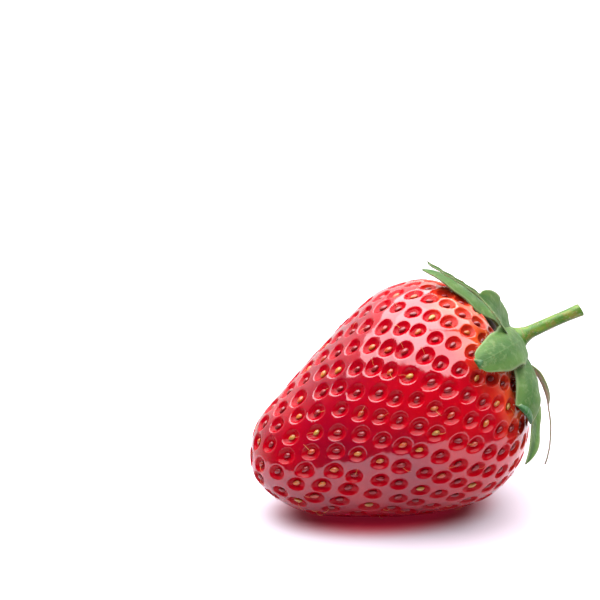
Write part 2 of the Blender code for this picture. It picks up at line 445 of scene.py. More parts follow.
leafLook = {
    "under": (0.046, 0.110, 0.016),
    "underMiddle": (0.020, 0.070, 0.006),
    "withered": (0.30, 0.35, 0.22),
    "margin": (0.115, 0.175, 0.062),
    "blush": (0.14, 0.08, 0.035),
    "upper": (0.010, 0.078, 0.011),
    "upperVein": (0.026, 0.095, 0.018),
}


def veinLines(tree):
    # a midrib with side veins that leave it at a slant, from the leaf's own map
    leafMap = addNode(tree, "ShaderNodeUVMap", {"uv_map": "UVMap"})
    along = addNode(tree, "ShaderNodeSeparateXYZ", {}, [leafMap], 0)
    across = addNode(tree, "ShaderNodeSeparateXYZ", {}, [leafMap], 1)
    fromMiddle = (across - 0.5).math("ABSOLUTE") * 2
    midrib = fade(tree, fromMiddle, 0.07, 0.0)
    slant = (along * 7 - fromMiddle * 1.7).math("FRACT")
    side = fade(tree, (slant - 0.5).math("ABSOLUTE"), 0.10, 0.0) * fade(tree, fromMiddle, 0.95, 0.5)
    return along, fromMiddle, midrib.math("MAXIMUM", side * 0.6)


def underFinish(name, tone):
    made, tree, shader = newFinish(
        name,
        {
            "Specular IOR Level": 0.3,
            "Sheen Weight": 0.02,
            "Subsurface Weight": 0.12,
            "Subsurface Scale": 0.001,
        },
    )
    where = pieceCoordinates(tree)
    along, fromMiddle, veins = veinLines(tree)
    mottle = noise(tree, where, 420, 4)
    heart = fade(tree, fromMiddle + (mottle - 0.5) * 0.5, 0.75, 0.15)
    heart = heart * (0.25 if tone == "withered" else 1.0)
    colour = mixColour(tree, heart, leafLook[tone], leafLook["underMiddle"])
    fleck = fade(tree, noise(tree, where, 900, 5, 0.65), 0.48, 0.68)
    colour = mixColour(tree, fleck * 0.45, colour, leafLook["margin"])
    colour = mixColour(tree, veins * 0.12, colour, leafLook["margin"])
    colour = mixColour(tree, fade(tree, fromMiddle + mottle * 0.1, 0.88, 1.03), colour, leafLook["margin"])
    blush = fade(tree, along, 0.34, 0.12) * fade(tree, fromMiddle, 0.7, 1.0) * fade(tree, mottle, 0.45, 0.6)
    colour = mixColour(tree, blush * 0.5, colour, leafLook["blush"])
    relief = veins * 0.00003 + noise(tree, where, 1900, 3) * 0.00007
    bump = bumped(tree, relief, 0.8)
    feed(tree, shader, baseColor=colour, roughness=fade(tree, mottle, 0.3, 0.7, 0.55, 0.75), normal=bump)
    return made


def upperFinish():
    made, tree, shader = newFinish("leafUpperside", {"Coat Weight": 0.1, "Coat Roughness": 0.3})
    where = pieceCoordinates(tree)
    along, fromMiddle, veins = veinLines(tree)
    mottle = noise(tree, where, 500, 3)
    colour = mixColour(tree, veins * 0.6, leafLook["upper"], leafLook["upperVein"])
    colour = mixColour(tree, fade(tree, mottle, 0.4, 0.7) * 0.3, colour, leafLook["upperVein"])
    colour = mixColour(tree, fade(tree, fromMiddle, 0.86, 0.98), colour, leafLook["margin"])
    relief = veins * -0.00008 + mottle * 0.00005
    bump = bumped(tree, relief, 0.8)
    feed(tree, shader, baseColor=colour, roughness=fade(tree, mottle, 0.3, 0.7, 0.35, 0.55), normal=bump)
    return made


stemLook = {
    "dark": (0.026, 0.100, 0.002),
    "light": (0.100, 0.175, 0.012),
    "scuff": (0.15, 0.10, 0.022),
    "cut": (0.20, 0.25, 0.085),
    "streaks": (150, 1100, 1100),  # per metre, along and across the stem
}


def stemFinish():
    made, tree, shader = newFinish(
        "stemGreen",
        {
            "Specular IOR Level": 0.3,
            "Subsurface Weight": 0.15,
            "Subsurface Scale": 0.001,
            "Coat Weight": 0.1,
        },
    )
    where = pieceCoordinates(tree)
    tone = noise(tree, where, 300, 3)
    stretched = addNode(tree, "ShaderNodeMapping", {}, {"Vector": where, "Scale": stemLook["streaks"]})
    streaks = noise(tree, stretched, 1, 3)
    colour = mixColour(tree, fade(tree, streaks, 0.35, 0.7), stemLook["dark"], stemLook["light"])
    scuff = fade(tree, tone + (noise(tree, where, 1500, 2) - 0.5) * 0.5, 0.60, 0.72)
    colour = mixColour(tree, scuff * 0.55, colour, stemLook["scuff"])
    cut = readAttribute(tree, "cut")
    colour = mixColour(tree, fade(tree, cut, 0.3, 0.7), colour, stemLook["cut"])
    relief = streaks * 0.00008 + noise(tree, where, 2000, 2) * 0.00004
    bump = bumped(tree, relief, 0.8)
    feed(tree, shader, baseColor=colour, roughness=fade(tree, tone, 0.3, 0.7, 0.38, 0.55), normal=bump)
    return made


hairLook = {"dark": (0.22, 0.25, 0.15), "light": (0.32, 0.32, 0.24)}


def hairFinish():
    made, tree, shader = newFinish("downyHair", {"Subsurface Weight": 0.2, "Subsurface Scale": 0.0005})
    tone = noise(tree, pieceCoordinates(tree), 300, 2)
    colour = mixColour(tree, fade(tree, tone, 0.35, 0.65), hairLook["dark"], hairLook["light"])
    feed(tree, shader, baseColor=colour, roughness=fade(tree, tone, 0.3, 0.7, 0.4, 0.6))
    return made


def seedPlaces():
    # the seeds' spiral: one step of area up the berry and one golden turn round it for each seed
    chance = random.Random(dimple["chance"])
    order = np.arange(dimple["count"])
    stray = np.array([[chance.uniform(-1, 1), chance.uniform(-1, 1)] for _ in order])
    span = dimple["end"] - dimple["start"]
    rank = (order + 0.5) / dimple["count"]
    share = dimple["start"] + span * (rank + dimple["crowding"] * rank * (1 - rank))
    latitude = np.arccos(1 - 2 * share)
    spacing = math.sqrt(4 * math.pi / dimple["count"])
    latitude = latitude + stray[:, 0] * dimple["stray"] * spacing
    angle = order * goldenTurn + dimple["phase"]
    angle = angle + stray[:, 1] * dimple["stray"] * spacing / np.sin(latitude)
    nudge = 1e-3
    here = lie(skinPlace(latitude, angle))
    up = lie(skinPlace(latitude + nudge, angle)) - here
    around = lie(skinPlace(latitude, angle + nudge)) - here
    outward = np.cross(up, around)
    outward /= np.linalg.norm(outward, axis=1)[:, None]
    middle = lie(upright(np.zeros(len(order)), np.interp(latitude, latitudes, profile[:, 1]), angle))
    outward *= np.sign(((here - middle) * outward).sum(axis=1))[:, None]
    up /= np.linalg.norm(up, axis=1)[:, None]
    shown = here[:, 2] > dimple["clearance"]
    mesh = bpy.data.meshes.new("seedPlaces")
    mesh.from_pydata(here[shown].tolist(), [], [])
    storeOn(mesh, "meridian", up[shown], "FLOAT_VECTOR")
    storeOn(mesh, "outward", outward[shown], "FLOAT_VECTOR")
    shallow = 1 - 0.45 * ramp(share, 0.86, 0.97)  # the dimples flatten out by the calyx
    storeOn(mesh, "size", [chance.uniform(*dimple["sizes"]) for _ in here[shown]])
    storeOn(mesh, "sink", shallow[shown])
    storeOn(mesh, "ripeness", [chance.random() for _ in here[shown]])
    return addPiece("seedPlaces", mesh)


def smoothSkin(cells):
    # a cube's grid blown up to a ball, whose even faces are laid over the berry's form
    ball = bmesh.new()
    bmesh.ops.create_cube(ball, size=2)
    bmesh.ops.subdivide_edges(ball, edges=ball.edges[:], cuts=cells - 1, use_grid_fill=True)
    mesh = bpy.data.meshes.new("smoothSkin")
    ball.to_mesh(mesh)
    ball.free()
    places = np.zeros(len(mesh.vertices) * 3)
    mesh.vertices.foreach_get("co", places)
    places = np.tan(places.reshape(-1, 3) * math.pi / 4)
    places /= np.linalg.norm(places, axis=1)[:, None]
    latitude = np.arccos(np.clip(-places[:, 2], -1, 1))
    angle = np.arctan2(-places[:, 1], -places[:, 0])
    mesh.vertices.foreach_set("co", lie(skinPlace(latitude, angle)).ravel())
    storeOn(mesh, "shoulder", np.interp(latitude, latitudes, profile[:, 1]) / berry["length"])
    mesh.shade_smooth()
    mesh.update()
    return addPiece("smoothSkin", mesh)


def stored(tree, name, kind="FLOAT"):
    return addNode(tree, "GeometryNodeInputNamedAttribute", {"data_type": kind}, {"Name": name})


def scaled(tree, vector, amount):
    return addNode(tree, "ShaderNodeVectorMath", {"operation": "SCALE"}, {0: vector, "Scale": amount})


def sampled(tree, seeds, index, field, kind="FLOAT"):
    # what the field holds at the seed of that index
    settings = {"data_type": kind, "domain": "POINT"}
    values = {"Geometry": seeds, "Value": field, "Index": index}
    return addNode(tree, "GeometryNodeSampleIndex", settings, values)


def dimpleTree(knobs):
    # sinks a bowl round the nearest seed and keeps each point's distance from it, in bowls
    tree, knob = growTree("dimpleSkin", knobs)
    seeds = addNode(tree, "GeometryNodeObjectInfo", {}, {"Object": knob["seeds"]}, output=4)
    index = addNode(tree, "GeometryNodeSampleNearest", {"domain": "POINT"}, {"Geometry": seeds})
    here = addNode(tree, "GeometryNodeInputPosition")
    seedHere = sampled(tree, seeds, index, here, "FLOAT_VECTOR")
    meridian = sampled(tree, seeds, index, stored(tree, "meridian", "FLOAT_VECTOR"), "FLOAT_VECTOR")
    size = sampled(tree, seeds, index, stored(tree, "size"))
    sink = sampled(tree, seeds, index, stored(tree, "sink"))
    offset = vectorMath(tree, "SUBTRACT", here, seedHere)
    along = vectorMath(tree, "DOT_PRODUCT", offset, meridian, output=1)
    whole = vectorMath(tree, "LENGTH", offset, output=1)
    aside = (whole * whole - along * along).math("MAXIMUM", 0.0).math("SQRT")
    lengthwise = along / (knob["halfLength"] * size)
    sideways = aside / (knob["halfWidth"] * size * (1 + lengthwise * knob["egg"]))
    spread = (lengthwise * lengthwise + sideways * sideways).math("SQRT").math("MAXIMUM", 0.01)
    off = (spread - 1).math("MAXIMUM", -1.0).math("MINIMUM", 1.0)
    ring = spread - off * (1 - off.math("ABSOLUTE")) * (1 - knob["draw"])
    settings = {"data_type": "FLOAT", "domain": "POINT"}
    values = {"Geometry": knob["Geometry"], "Name": "dimple", "Value": ring}
    kept = addNode(tree, "GeometryNodeStoreNamedAttribute", settings, values)
    pull = scaled(tree, offset, ring / spread - 1)
    drawn = addNode(tree, "GeometryNodeSetPosition", {}, {"Geometry": kept, "Offset": pull})
    ring = stored(tree, "dimple")
    bowl = ring.math("SMOOTH_MIN", 1.0, knob["softRim"]) ** knob["power"]
    depth = (1 - bowl) * knob["depth"] * sink * -1
    normal = addNode(tree, "GeometryNodeInputNormal")
    inward = scaled(tree, normal, depth)
    sunk = addNode(tree, "GeometryNodeSetPosition", {}, {"Geometry": drawn, "Offset": inward})
    parts = [addNode(tree, "ShaderNodeSeparateXYZ", {}, [here], axis) for axis in range(3)]
    level = addNode(tree, "ShaderNodeCombineXYZ", {}, [parts[0], parts[1], parts[2].math("MAXIMUM", 0.0)])
    return tree, knob, addNode(tree, "GeometryNodeSetPosition", {}, {"Geometry": sunk, "Position": level})


def makeSkin(seeds):
    sizes = ("depth", "halfLength", "halfWidth", "egg", "power", "softRim", "draw")
    knobs = {size: dimple[size] for size in sizes}
    knobs |= {"seeds": seeds, "finish": skinFinish()}
    tree, knob, geometry = dimpleTree(knobs)
    endTree(tree, geometry, knob["finish"])
    smooth = smoothSkin(fruitCells)
    skin = growPiece(smooth, tree, knobs, "fruitSkin")
    bpy.data.objects.remove(smooth)
    return skin


seed = {
    "halfLength": 0.64 * mm,
    "halfWidth": 0.41 * mm,
    "halfHeight": 0.30 * mm,
    "seat": 0.44 * mm,  # middle of the seed below the skin
    "tilt": 0.16,
    "chance": 3,
}


def seedShape():
    # a plump drop, pointed towards the berry's tip
    ball = bmesh.new()
    bmesh.ops.create_uvsphere(ball, u_segments=8, v_segments=7, radius=1)
    bmesh.ops.rotate(ball, verts=ball.verts, matrix=Matrix.Rotation(math.pi / 2, 3, "Y"))
    for vertex in ball.verts:
        narrow = 1 - 0.28 * ramp(-vertex.co.x, -0.2, 1)
        x, y, z = vertex.co
        width = seed["halfWidth"] * narrow
        vertex.co = (x * seed["halfLength"], y * width, z * seed["halfHeight"] * narrow)
    mesh = bpy.data.meshes.new("seedShape")
    ball.to_mesh(mesh)
    ball.free()
    mesh.shade_smooth()
    return addPiece("seedShape", mesh)


def aligned(tree):
    meridian = stored(tree, "meridian", "FLOAT_VECTOR")
    outward = stored(tree, "outward", "FLOAT_VECTOR")
    settings = {"primary_axis": "Z", "secondary_axis": "X"}
    return outward, addNode(tree, "FunctionNodeAxesToRotation", settings, [outward, meridian])


def randomTurn(tree, most, chanceSeed):
    values = {0: [-part for part in most], 1: list(most), "Seed": chanceSeed}
    return addNode(tree, "FunctionNodeRandomValue", {"data_type": "FLOAT_VECTOR"}, values)


def sowTree(knobs, tilt, selection=None):
    # sets a copy of the shape at each place, sunk by the seat and turned with the skin
    tree, knob = growTree("sow" + knobs["shape"].name.title(), knobs)
    outward, turn = aligned(tree)
    down = scaled(tree, outward, knob["seat"] * -1)
    seated = addNode(tree, "GeometryNodeSetPosition", {}, {"Geometry": knob["Geometry"], "Offset": down})
    shape = addNode(tree, "GeometryNodeObjectInfo", {}, {"Object": knob["shape"]}, output=4)
    size = stored(tree, "size")
    values = {"Points": seated, "Instance": shape, "Rotation": turn, "Scale": size}
    if selection:
        settings = {"data_type": "BOOLEAN"}
        odds = {"Probability": selection, "Seed": knob["chance"]}
        values["Selection"] = addNode(tree, "FunctionNodeRandomValue", settings, odds, output=3)
    sown = addNode(tree, "GeometryNodeInstanceOnPoints", {}, values)
    twist = randomTurn(tree, tilt, knob["chance"])
    sown = addNode(tree, "GeometryNodeRotateInstances", {}, {"Instances": sown, "Rotation": twist})
    endTree(tree, sown, knob["finish"])
    return tree


def makeSeeds(places):
    shape = seedShape()
    knobs = {"shape": shape, "seat": seed["seat"], "chance": seed["chance"], "finish": seedFinish()}
    tree = sowTree(knobs, (seed["tilt"], seed["tilt"], seed["tilt"] * 2))
    seeds = growPiece(places, tree, knobs, "seeds")
    bpy.data.objects.remove(shape)
    return seeds


thread = {
    "share": 0.22,  # of the seeds that keep one
    "length": 1.2 * mm,
    "radius": 0.036 * mm,
    "arch": 0.30 * mm,
    "rootAside": 0.35 * mm,  # where it starts, from the middle of its seed
    "rootUp": 0.10 * mm,
    "drift": 0.25 * mm,
    "seat": 0.18 * mm,
    "tilt": (0.1, 0.15, math.pi),
    "chance": 11,
}


def threadShape():
    # a withered style: it leaves the seed's side and arches over to lie on the skin
    curve = bpy.data.curves.new("styleShape", "CURVE")
    curve.dimensions = "3D"
    curve.bevel_depth = thread["radius"]
    curve.bevel_resolution = 0
    curve.use_fill_caps = True
    line = curve.splines.new("POLY")
    steps = 6
    line.points.add(steps)
    for step, point in enumerate(line.points):
        share = step / steps
        up = thread["arch"] * math.sin(share * math.pi * 0.85) + thread["rootUp"]
        point.co = (thread["rootAside"] + thread["length"] * share, thread["drift"] * share**2, up, 1)
        point.radius = 1.2 - 0.6 * share
    shape = bpy.data.objects.new("styleShape", curve)
    bpy.context.scene.collection.objects.link(shape)
    return shape


def makeThreads(places):
    shape = threadShape()
    knobs = {"shape": shape, "seat": thread["seat"], "chance": thread["chance"], "finish": threadFinish()}
    tree = sowTree(knobs, thread["tilt"], thread["share"])
    threads = growPiece(places, tree, knobs, "styleThreads")
    bpy.data.objects.remove(shape)
    return threads


calyx = {
    "collarRadius": 3.0 * mm,
    "collarHeight": 2.6 * mm,
    "collarLobes": 0.035,
    "gap": 0.3 * mm,  # the CAD collar stands this far off the neck
    "rootHeight": 0.45,  # on the collar's side
    "start": 0.4 * mm,
    "tuck": 1.3 * mm,  # a leaf's root runs this far into the collar
    "standoff": 0.9 * mm,
    "rootWidth": 0.26,
    "tipWidth": 0.02,
    "thickness": 0.24 * mm,
    "foldRadius": 0.22 * mm,
    "cellsAlong": 56,
    "cellsAcross": 22,
}
# first line: angle, length, width, lift at root, middle and tip, where the tip's rise starts and its power,
# swing and roll
# second line: point, blade (where it is widest, where it ends and the thread's width beyond), folded tip,
# cup, ripple, and how far each edge curls outwards
leafRows = {
    "sepal_3": (3, 16.8, 6.4, (-0.4, -0.25, 2.2), (0.5, 1.5), 0, 0,
                0.9, (0.46, 1, 0), 0, -0.36, 0.04, (0, 0)),
    "bract_1": (50, 18.6, 6.6, (0.1, 0.4, 8.6), (0.42, 1.25), -27, -24,
                0.8, (0.36, 0.72, 0.09), 0, 0.12, 0.03, (0, 30)),
    "sepal_1": (66, 17.1, 6.9, (0.9, 1.3, 1.5), (0.5, 1.5), -4, 6,
                0.46, (0.46, 1, 0), 1.3, -0.18, 0.04, (0, 0)),
    "sepal_2": (95, 13.4, 7.3, (0.2, 0.3, 0.4), (0.5, 1.5), 6, 14,
                0.5, (0.46, 1.10, 0), 3.0, -0.18, 0.04, (0, 0)),
    "bract_2": (124, 17.4, 5.0, (-0.5, -0.3, 2.1), (0.5, 1.5), -4, 8,
                1.0, (0.46, 1, 0), 0, 0.15, 0.10, (20, 40)),
    "bract_3": (158, 14.6, 3.6, (0.2, 2.9, 4.8), (0.5, 1.5), 14, 3,
                1.0, (0.18, 0.50, 0.15), 0, 0.20, 0.03, (60, 60)),
    "sepal_5": (-128, 15.2, 7.0, (-0.4, 0.0, 0.8), (0.5, 1.5), 4, 0,
                0.8, (0.46, 1, 0), 0, -0.15, 0.07, (0, 0)),
    "bract_5": (-95, 16.0, 4.0, (0.2, 0.8, 3.0), (0.5, 1.5), 0, 0,
                1.6, (0.40, 1, 0), 0, 0.20, 0.08, (30, 0)),
    "sepal_4": (-61, 15.0, 7.4, (-0.4, 0.0, 0.4), (0.5, 1.5), -3, 0,
                0.6, (0.46, 1, 0), 1.2, -0.15, 0.06, (0, 0)),
    "bract_4": (-29, 13.8, 4.0, (0.2, 0.3, 0.2), (0.5, 1.5), 5, 0,
                1.4, (0.40, 1, 0), 0, 0.10, 0.06, (0, 0)),
}
leafWords = "angle length width lift rise swing roll point blade fold cup ripple curl".split()


def leafTrack():
    skin = outlinePoints()
    above = []
    for before, here, after in zip(skin[4:], skin[5:], skin[6:]):
        run = (after - before) / np.linalg.norm(after - before)
        above.append(here + calyx["standoff"] * np.array((run[1], -run[0])))
    above.append(skin[-1] + calyx["standoff"] * np.array((0.35, 1)))
    rootHeight = berry["length"] + calyx["gap"] + calyx["collarHeight"] * calyx["rootHeight"]
    root = np.array((calyx["collarRadius"] + calyx["start"], rootHeight))
    arch = (root + above[-1]) / 2 + calyx["standoff"] * np.array((0, calyx["rootHeight"]))
    return smoothLine([root, arch, *reversed(above)], 8)


track = leafTrack()
trackRun = np.diff(track, axis=0)
trackStep = np.linalg.norm(trackRun, axis=1)
trackLength = np.concatenate([[0], np.cumsum(trackStep)])
trackRun /= trackStep[:, None]


def trackPlace(distance):
    # the place on the track and the outward direction there; below 0 it runs straight into the collar
    span = np.clip(np.searchsorted(trackLength, distance, side="right") - 1, 0, len(trackRun) - 1)
    run = trackRun[span]
    place = track[span] + run * (distance - trackLength[span])[..., None]
    return place, np.stack([-run[..., 1], run[..., 0]], axis=-1)


def leafHalfWidth(share, leaf):
    widest, narrow, thin = leaf["blade"]
    root = calyx["rootWidth"] + (1 - calyx["rootWidth"]) * np.sin(ramp(share, 0, widest) * math.pi / 2)
    tip = np.maximum(calyx["tipWidth"], 1 - ramp(share, widest, narrow) ** 2) ** (0.75 * leaf["point"])
    return root * np.maximum(tip, thin * (1 - 0.6 * share))


def leafSection(leaf, share, across):
    # the cut across the leaf, for half a width of 1: how far aside and how high each of its points lies
    reach = np.abs(across)
    curl = np.radians(np.where(across < 0, *leaf["curl"]))
    bend = leaf["cup"] * 2 * reach + curl * ramp(reach, 0.45, 1) * ramp(share, 0.1, 0.35)
    bend = (bend[:, 1:] + bend[:, :-1]) / 2
    step = across[:, 1:] - across[:, :-1]
    inner = np.sign(across[:, 1:] + across[:, :-1])
    start = np.zeros((len(across), 1))
    aside = np.hstack([start, np.cumsum(np.cos(bend) * step, axis=1)])
    height = np.hstack([start, np.cumsum(np.sin(bend) * step * inner, axis=1)])
    middle = across.shape[1] // 2
    aside = aside - aside[:, middle : middle + 1]
    return aside, height - height[:, middle : middle + 1] - leaf["cup"] * 0.3


def leafSheet(leaf):
    # the leaf's middle surface: cupped, rippled at its edges and with any folded tip turned back
    length, fold = leaf["length"] * mm, leaf["fold"] * mm
    rootLift, middleLift, tipLift = (lift * mm for lift in leaf["lift"])
    run, across = np.meshgrid(
        np.linspace(-calyx["tuck"], length + fold, calyx["cellsAlong"] + 1),
        np.linspace(-1, 1, calyx["cellsAcross"] + 1),
        indexing="ij",
    )
    beyond = np.maximum(0, run - length)
    share = ramp(run, 0, length)
    curl = np.minimum(beyond / calyx["foldRadius"], math.pi)
    turnedBack = np.maximum(0, beyond - math.pi * calyx["foldRadius"])
    distance = np.minimum(run, length) + calyx["foldRadius"] * np.sin(curl) - turnedBack
    half = leaf["width"] / 2 * mm * leafHalfWidth(share, leaf)
    half = half * (1 - ramp(beyond, 0, max(fold, mm)) ** 1.3 * 0.96)
    turn = math.radians(leaf["roll"]) * np.sin(ramp(share, 0, 0.6) * math.pi / 2)
    aside, height = leafSection(leaf, share, across)
    lift = rootLift + (middleLift - rootLift) * np.sin(ramp(share, 0, 0.5) * math.pi / 2)
    riseStart, risePower = leaf["rise"]
    lift += (tipLift - middleLift) * ramp(share, riseStart, 1) ** risePower
    lift += half * (np.abs(np.sin(turn)) + np.sin(turn) * aside + np.cos(turn) * height)
    lift += calyx["foldRadius"] * (1 - np.cos(curl))
    lift += leaf["ripple"] * half * across**2 * np.sin(share * 17 + across * 1.3 + leaf["angle"])
    place, outward = trackPlace(distance)
    place = place + outward * lift[..., None]
    out, along = place[..., 0], place[..., 1]
    waver = 1 + 0.035 * np.sin(share * 23 + leaf["angle"]) * (np.abs(across) > 0.5)
    aside = half * waver * (aside * np.cos(turn) - height * np.sin(turn))
    angle = np.radians(leaf["angle"] + leaf["swing"] * share**2)
    angle = angle + aside / np.maximum(out, calyx["collarRadius"])
    return lie(upright(out, along, angle))


def makeLeaf(name, leaf, under, upper):
    sheet = leafSheet(leaf)
    mesh = gridMesh(name, sheet, uvs=True)
    row, column = sheet.shape[0] // 2, sheet.shape[1] // 2
    middle = sheet[row, column]
    inside = lie(upright(np.array(0.0), np.array(berry["length"] * 0.7), np.array(0.0)))
    faceNormal = np.cross(sheet[row + 1, column] - middle, sheet[row, column + 1] - middle)
    if (faceNormal * (middle - inside)).sum() > 0:
        mesh.flip_normals()
    mesh.materials.append(under)
    mesh.materials.append(upper)
    piece = addPiece(name + "Sheet", mesh)
    wall = piece.modifiers.new("wall", "SOLIDIFY")
    wall.thickness = calyx["thickness"]
    wall.offset = 0
    wall.material_offset = 1
    bpy.context.view_layer.update()
    graph = bpy.context.evaluated_depsgraph_get()
    solid = bpy.data.meshes.new_from_object(piece.evaluated_get(graph))
    piece.modifiers.clear()
    piece.data = solid
    piece.name = name + "Leaf"
    solid.shade_smooth()
    return piece


stem = {
    "radius": 0.85 * mm,
    "length": 10.1 * mm,
    "start": 0.6 * mm,  # above the collar
    "foot": 0.09,  # share of the length that runs on down into the collar
    "sweep": 1.0 * mm,
    "sag": 0.4 * mm,
    "taper": ((0.0, 1.95), (0.06, 1.5), (0.16, 1.2), (0.45, 1.1), (0.8, 1.08), (1.0, 1.2)),
    "ribs": 0.035,
    "cut": 0.25 * mm,  # the cut face is dished
}


def makeStem():
    sides, rows = 36, 90
    start = berry["length"] + calyx["collarHeight"] + stem["start"]
    share = np.linspace(-stem["foot"], 1, rows)
    bend = ramp(share, 0, 1) ** 1.5
    shares, sizes = zip(*stem["taper"])
    radius = stem["radius"] * np.interp(share, shares, sizes)
    radius = np.convolve(np.pad(radius, 4, mode="edge"), np.ones(9) / 9, mode="valid")
    angle = np.linspace(0, 2 * math.pi, sides, endpoint=False)
    across = -axisShift(berry["length"]) + stem["sag"] * bend
    middle = np.stack([across, -stem["sweep"] * bend, start + stem["length"] * share], axis=-1)
    ribs = 1 + stem["ribs"] * np.cos(5 * angle)[None]
    ribs = ribs + 0.03 * np.sin(share * 19)[:, None] * np.cos(angle - 1)[None]
    rings = middle[:, None] + (radius[:, None] * ribs)[..., None] * np.stack(
        [np.cos(angle), np.sin(angle), 0 * angle], axis=-1
    )
    caps = []
    for inset, dish in ((0.93, -0.06), (0.72, 0.3), (0.35, 0.8), (0.02, 1.0)):
        cap = middle[-1] + (rings[-1] - middle[-1]) * inset
        cap[:, 2] -= stem["cut"] * dish
        caps.append(cap)
    rings = np.concatenate([rings, np.array(caps)])
    mesh = gridMesh("stem", lie(rings), closed=True)
    storeOn(mesh, "cut", np.repeat([0] * (rows - 1) + [0.4] + [1] * len(caps), sides))
    mesh.materials.append(stemFinish())
    return closeEnds("stemStalk", mesh), lie(rings[:rows])


def closeEnds(name, mesh):
    work = bmesh.new()
    work.from_mesh(mesh)
    bmesh.ops.holes_fill(work, edges=[edge for edge in work.edges if edge.is_boundary], sides=0)
    bmesh.ops.recalc_face_normals(work, faces=work.faces)
    work.to_mesh(mesh)
    work.free()
    mesh.shade_smooth()
    return addPiece(name, mesh)


collarShape = (
    (0.80, -0.10),
    (0.97, 0.08),
    (1.04, 0.30),
    (1.02, 0.55),
    (0.88, 0.78),
    (0.66, 0.97),
    (0.50, 1.20),
    (0.42, 1.45),
)  # (share of the collar's radius, share of its height)


def makeCollar():
    # a fleshy disc with eleven low lobes, drawn up into the stem
    sides = 100
    angle = np.linspace(0, 2 * math.pi, sides, endpoint=False)
    size = calyx["collarRadius"], calyx["collarHeight"]
    line = smoothLine([(out * size[0], up * size[1]) for out, up in collarShape], 5)
    reach = ramp(line[:, 0], calyx["collarRadius"] * 0.5, calyx["collarRadius"])[:, None]
    lobes = np.cos(angle * 11 + 0.6)[None] * reach
    out = line[:, :1] * (1 + calyx["collarLobes"] * lobes)
    along = berry["length"] + calyx["gap"] + line[:, 1:] + 0 * out
    middle = axisShift(berry["length"])
    rings = np.stack([-out * np.cos(angle) - middle, -out * np.sin(angle), along], axis=-1)
    mesh = gridMesh("collar", lie(rings), closed=True)
    storeOn(mesh, "cut", np.zeros(len(mesh.vertices)))
    mesh.materials.append(bpy.data.materials["stemGreen"])
    return closeEnds("calyxCollar", mesh)


hair = {
    "length": 0.45 * mm,
    "radius": 0.016 * mm,
    "stemCount": 420,
    "spacing": 0.6 * mm,  # along a leaf's edge
    "sizes": (0.5, 1.25),
    "tilt": (0.35, 0.35, math.pi),
    "placeChance": 5,
    "turnChance": 17,
}


def hairShape():
    cone = bmesh.new()
    bmesh.ops.create_cone(
        cone,
        cap_ends=True,
        segments=3,
        radius1=hair["radius"],
        radius2=hair["radius"] * 0.3,
        depth=hair["length"],
    )
    bmesh.ops.translate(cone, verts=cone.verts, vec=(0, 0, hair["length"] / 2))
    mesh = bpy.data.meshes.new("hairShape")
    cone.to_mesh(mesh)
    cone.free()
    return addPiece("hairShape", mesh)


def stemHairs(rings, chance):
    found = []
    middles = rings.mean(axis=1)
    for _ in range(hair["stemCount"]):
        row = chance.randrange(2, len(rings) - 2)
        side = chance.randrange(rings.shape[1])
        place = rings[row, side]
        aside = place - middles[row]
        aside = aside / np.linalg.norm(aside)
        along = middles[row + 1] - middles[row - 1]
        along = along / np.linalg.norm(along)
        found.append((place - aside * 0.02 * mm, aside + along * chance.uniform(-0.2, 1.0)))
    return found


def leafEdgeHairs(leaf, chance):
    # places and directions of the fringe along both edges
    sheet = leafSheet(leaf)
    found = []
    for edge, inner in ((0, 1), (-1, -2)):
        rim, within = sheet[8:, edge], sheet[8:, inner]
        lengths = np.linalg.norm(np.diff(rim, axis=0), axis=1)
        for a, b, c, step in zip(rim, rim[1:], within, lengths):
            for _ in range(int(step / hair["spacing"] + chance.random())):
                place = a + (b - a) * chance.random()
                along = (b - a) / max(step, 1e-9)
                aside = a - c
                aside = aside / max(np.linalg.norm(aside), 1e-9)
                found.append((place, aside + along * chance.uniform(0.1, 0.9)))
    return found


def makeDown(rings, leaves):
    chance = random.Random(hair["placeChance"])
    found = stemHairs(rings, chance)
    for leaf in leaves.values():
        found += leafEdgeHairs(leaf, chance)
    places, directions = (np.array(column) for column in zip(*found))
    directions /= np.linalg.norm(directions, axis=1)[:, None]
    helper = np.where(np.abs(directions[:, :1]) < 0.8, [[1.0, 0, 0]], [[0, 1.0, 0]])
    meridian = np.cross(directions, helper)
    meridian /= np.linalg.norm(meridian, axis=1)[:, None]
    mesh = bpy.data.meshes.new("hairPlaces")
    mesh.from_pydata(places.tolist(), [], [])
    storeOn(mesh, "outward", directions, "FLOAT_VECTOR")
    storeOn(mesh, "meridian", meridian, "FLOAT_VECTOR")
    storeOn(mesh, "size", [chance.uniform(*hair["sizes"]) for _ in found])
    base = addPiece("hairPlaces", mesh)
    shape = hairShape()
    knobs = {"shape": shape, "seat": 0.0, "chance": hair["turnChance"], "finish": hairFinish()}
    tree = sowTree(knobs, hair["tilt"])
    down = growPiece(base, tree, knobs, "downHairs")
    bpy.data.objects.remove(shape)
    bpy.data.objects.remove(base)
    return down


